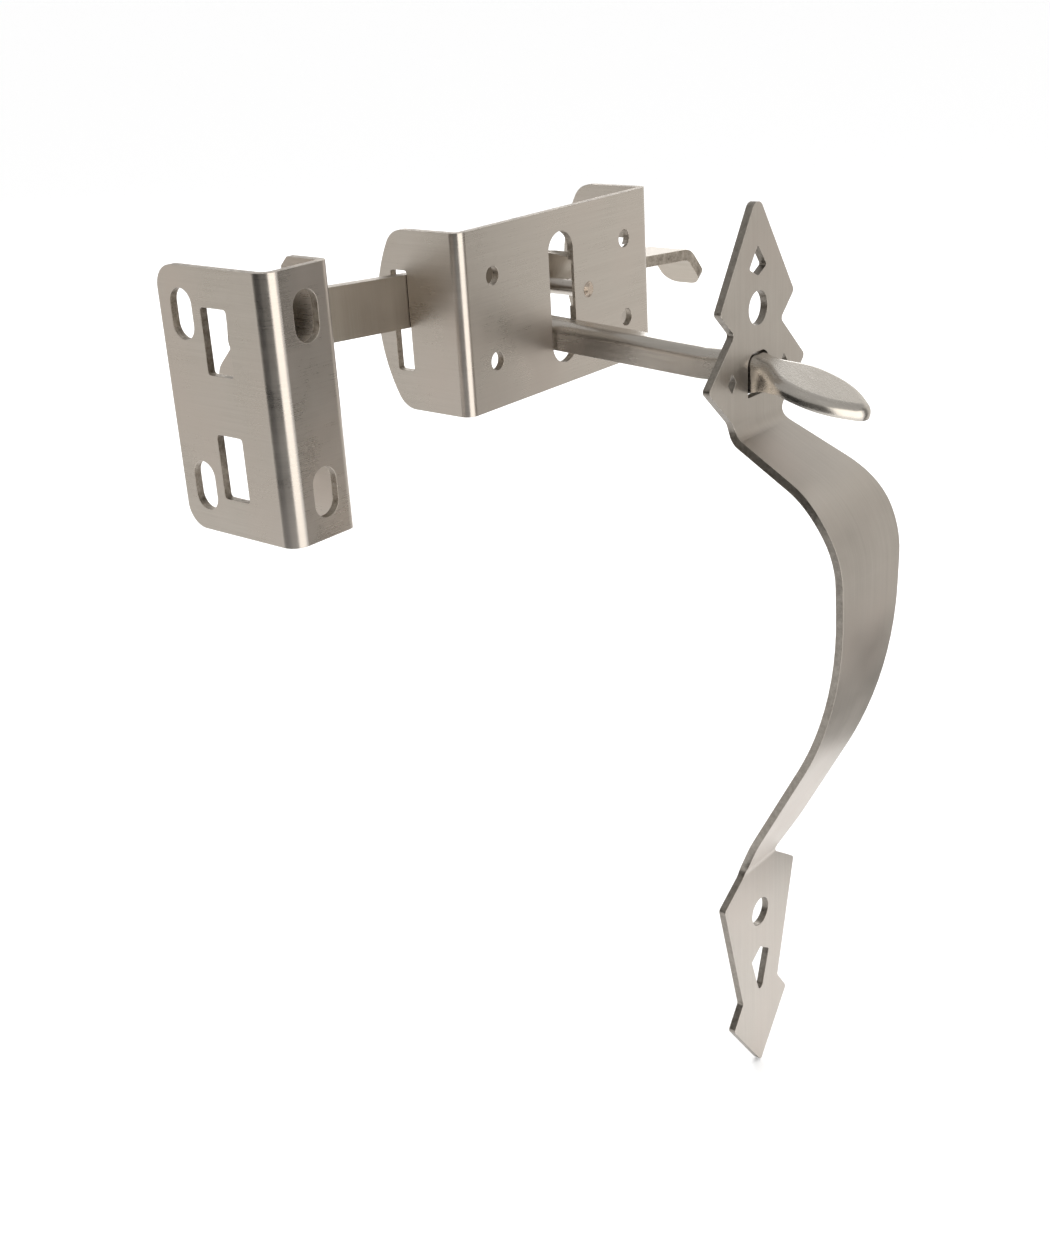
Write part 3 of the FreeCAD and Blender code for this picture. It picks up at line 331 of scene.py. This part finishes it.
channel_steel = brushed("channel_steel", FLAT_BRUSH, STEEL, 0.30, 0.75, line_depth=0.05)
strike_steel = brushed("strike_steel", FLAT_BRUSH, STEEL, 0.30, 0.75, line_depth=0.05)
handle_steel = brushed("handle_steel", UPRIGHT_BRUSH, STEEL, 0.38, 0.4, axis="X")
bar_steel = brushed("bar_steel", UPRIGHT_BRUSH, BAR, 0.37)
lever_steel = brushed("lever_steel", LENGTHWISE_BRUSH, LEVER, 0.25, mottle=LEVER_MOTTLE,
                      line_depth=0.04)
pin_steel = brushed("pin_steel", PIN_BRUSH, PIN, 0.24, line_depth=0.2)
washer_steel = brushed("washer_steel", WASHER_BRUSH, STEEL, 0.32)
cut_steel = sheared("cut_steel", CUT, 0.5)
soft_cut = sheared("soft_cut", SOFT_CUT, 0.4)

dress("case_bracket", channel_steel, cut_steel)
dress("strike_bracket", strike_steel, cut_steel)
dress("handle_pull", handle_steel, soft_cut)
dress("lever_bracket", handle_steel, cut_steel)
dress("latch_bar", bar_steel, cut_steel, BAR_THICK)
dress("thumb_lever", lever_steel)
for node_name in nodes:
    if node_name.endswith("_pin") or "pivot" in node_name:
        dress(node_name, pin_steel)
    elif "washer" in node_name or "ring" in node_name or "tube" in node_name:
        dress(node_name, washer_steel)


# ---------------------------------------------------------------- floor, light and camera

def disc(name, radius, segments, height):
    """A flat round piece at a height, not yet in the scene."""
    mesh = bpy.data.meshes.new(name)
    shape = bmesh.new()
    bmesh.ops.create_circle(shape, cap_ends=True, segments=segments, radius=radius)
    shape.to_mesh(mesh)
    shape.free()
    piece = bpy.data.objects.new(name, mesh)
    piece.location.z = height
    return piece


def floor():
    """A plain pale floor, under the lowest point of the handle."""
    piece = disc("studio_floor", FLOOR_RADIUS, 96, cad_low.z - FLOOR_DROP)
    bpy.context.scene.collection.objects.link(piece)
    material = bpy.data.materials.new("pale_floor")
    material.use_nodes = True
    shader = material.node_tree.nodes["Principled BSDF"]
    shader.inputs["Base Color"].default_value = grey(FLOOR_WHITE)
    shader.inputs["Roughness"].default_value = FLOOR_ROUGH
    piece.data.materials.append(material)


def away(azimuth, elevation):
    """The direction of an azimuth, 0 at -Y and 90 at +X, and an elevation."""
    turn, lift = math.radians(azimuth), math.radians(elevation)
    level = math.cos(lift)
    return Vector((math.sin(turn) * level, -math.cos(turn) * level, math.sin(lift)))


def softbox(name, azimuth, elevation, distance, width, height, power):
    """A soft light that points at the middle of the latch."""
    light = bpy.data.lights.new(name, "AREA")
    light.shape = "RECTANGLE"
    light.size = width
    light.size_y = height
    light.energy = power
    piece = bpy.data.objects.new(name, light)
    bpy.context.scene.collection.objects.link(piece)
    piece.location = middle + distance * away(azimuth, elevation)
    to_latch = middle - piece.location
    piece.rotation_euler = to_latch.to_track_quat("-Z", "Y").to_euler()
    piece.visible_camera = False


def reflection_card(piece, brightness, tint):
    """Lights a piece evenly and leaves it out of everything but reflections."""
    bpy.context.scene.collection.objects.link(piece)
    material = bpy.data.materials.new(piece.name)
    material.use_nodes = True
    tree = material.node_tree
    tree.nodes.clear()
    look = {"Color": colour(tint), "Strength": brightness}
    glow = add(tree, "ShaderNodeEmission", inputs=look)
    out = add(tree, "ShaderNodeOutputMaterial")
    tree.links.new(glow.outputs[0], out.inputs["Surface"])
    piece.data.materials.append(material)
    piece.visible_camera = False
    piece.visible_diffuse = False
    piece.visible_shadow = False
    piece.visible_transmission = False


def card(name, start, end, brightness, near, far, tall):
    """A card round the latch from azimuth start to end, near at its foot and far at its top."""
    mesh = bpy.data.meshes.new(name)
    shape = bmesh.new()
    rows = []
    for number in range(CARD_STEPS + 1):
        turn = math.radians(start + (end - start) * number / CARD_STEPS)
        rows.append([shape.verts.new((reach * math.sin(turn), -reach * math.cos(turn), z))
                     for reach, z in ((near, cad_low.z), (far, cad_low.z + tall))])
    for here, there in zip(rows, rows[1:]):
        shape.faces.new((here[0], there[0], there[1], here[1]))
    shape.to_mesh(mesh)
    shape.free()
    reflection_card(bpy.data.objects.new(name, mesh), brightness, CARD_TINT)


def studio_world():
    world = bpy.data.worlds.new("studio_world")
    bpy.context.scene.world = world
    world.use_nodes = True
    background = world.node_tree.nodes["Background"]
    background.inputs["Color"].default_value = grey(1.0)
    background.inputs["Strength"].default_value = WORLD_STRENGTH


def camera():
    """A camera that looks back along its azimuth and elevation, turned by its roll."""
    back = away(VIEW_AZIMUTH, VIEW_ELEVATION)
    right = Vector((0.0, 0.0, 1.0)).cross(back).normalized()
    up = back.cross(right)
    lean = math.radians(VIEW_ROLL)
    leant_right = math.cos(lean) * right + math.sin(lean) * up
    leant_up = math.cos(lean) * up - math.sin(lean) * right
    matrix = Matrix((leant_right, leant_up, back)).transposed().to_4x4()
    matrix.translation = Vector(VIEW_PLACE)
    data = bpy.data.cameras.new("photo_camera")
    data.lens = LENS
    data.sensor_width = SENSOR_WIDTH
    data.clip_start = CLIP_START
    data.clip_end = CLIP_END
    piece = bpy.data.objects.new("photo_camera", data)
    piece.matrix_world = matrix
    bpy.context.scene.collection.objects.link(piece)
    bpy.context.scene.camera = piece


floor()
studio_world()
for settings in SOFTBOXES:
    softbox(*settings)
ceiling = disc("ceiling_card", CEILING_RADIUS, 64, CEILING_HEIGHT)
reflection_card(ceiling, CEILING_BRIGHTNESS, CEILING_TINT)
for settings in CARDS:
    card(*settings)
camera()
bpy.context.scene.view_settings.view_transform = "Standard"
